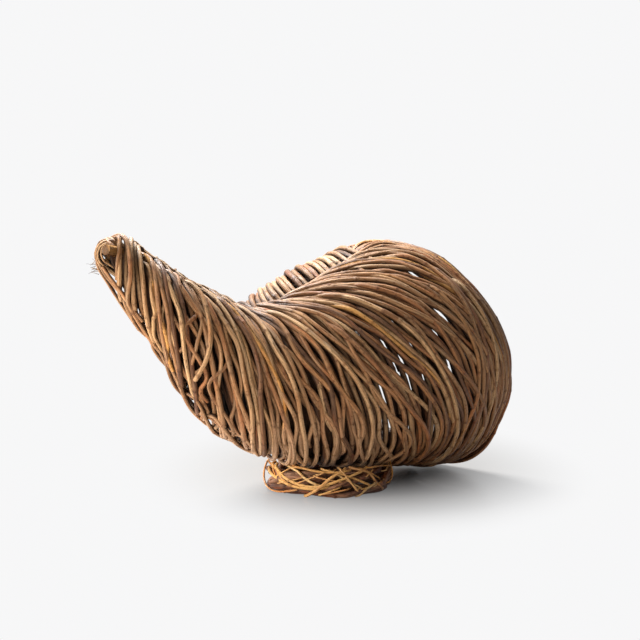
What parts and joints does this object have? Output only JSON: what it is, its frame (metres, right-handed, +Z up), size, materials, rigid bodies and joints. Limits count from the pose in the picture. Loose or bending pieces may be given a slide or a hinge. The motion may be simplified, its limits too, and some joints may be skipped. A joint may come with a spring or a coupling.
{
  "type": "cornucopia basket",
  "caption": "Horn-shaped basket of vine and willow rods wound over a frame of ribs and hoops, with a wide mouth, a curled-up tail and a twisted vine wreath as its foot.",
  "frame": {"origin": "under the middle of the basket's outline, at the height of the surface that it stands on", "axes": "+Z up; the tail points to -X and up, the mouth faces +X and +Y, and the outer side of the bend faces -Y"},
  "size_m": [0.4574, 0.3296, 0.2786],
  "materials": {
    "willow": "dull brown bark with small nodes",
    "pale_willow": "dull tan bark",
    "dark_bark": "dark reddish-brown vine bark",
    "gold_cane": "golden split cane with a slight sheen",
    "stripped_rod": "rod without its bark, orange-brown"
  },
  "bodies": {
    "root": {"wall_rod_01": "pale_willow", "wall_rod_02": "willow", "wall_rod_03": "dark_bark", "wall_rod_04": "willow", "wall_rod_05": "stripped_rod", "wall_rod_06": "pale_willow", "wall_rod_07": "willow", "wall_rod_08": "pale_willow", "wall_rod_09": "willow", "wall_rod_10": "dark_bark", "wall_rod_11": "willow", "wall_rod_12": "stripped_rod", "wall_rod_13": "pale_willow", "wall_rod_14": "willow", "wall_rod_15": "pale_willow", "wall_rod_16": "willow", "wall_rod_17": "dark_bark", "wall_rod_18": "willow", "wall_rod_19": "stripped_rod", "wall_rod_20": "pale_willow", "wall_rod_21": "willow", "wall_rod_22": "pale_willow", "wall_rod_23": "willow", "wall_rod_24": "dark_bark", "wall_rod_25": "willow", "wall_rod_26": "stripped_rod", "wall_rod_27": "pale_willow", "wall_rod_28": "willow", "wall_rod_29": "pale_willow", "wall_rod_30": "willow", "spine_rib": "stripped_rod", "near_upper_rib": "stripped_rod", "near_lower_rib": "stripped_rod", "keel_rib": "stripped_rod", "far_lower_rib": "stripped_rod", "far_upper_rib": "stripped_rod", "throat_hoop": "stripped_rod", "belly_hoop": "stripped_rod", "mouth_hoop": "dark_bark", "mouth_edge_rod": "dark_bark", "tail_core_1": "gold_cane", "tail_core_2": "gold_cane", "tail_core_3": "gold_cane", "tail_loop_inner": "willow", "tail_loop_outer": "willow", "foot_base_ring": "dark_bark", "foot_inner_ring": "dark_bark", "foot_top_ring": "willow", "foot_middle_ring": "dark_bark", "foot_upper_vine": "gold_cane", "foot_side_vine": "willow", "foot_lacing": "gold_cane"}
  },
  "joints": []
}
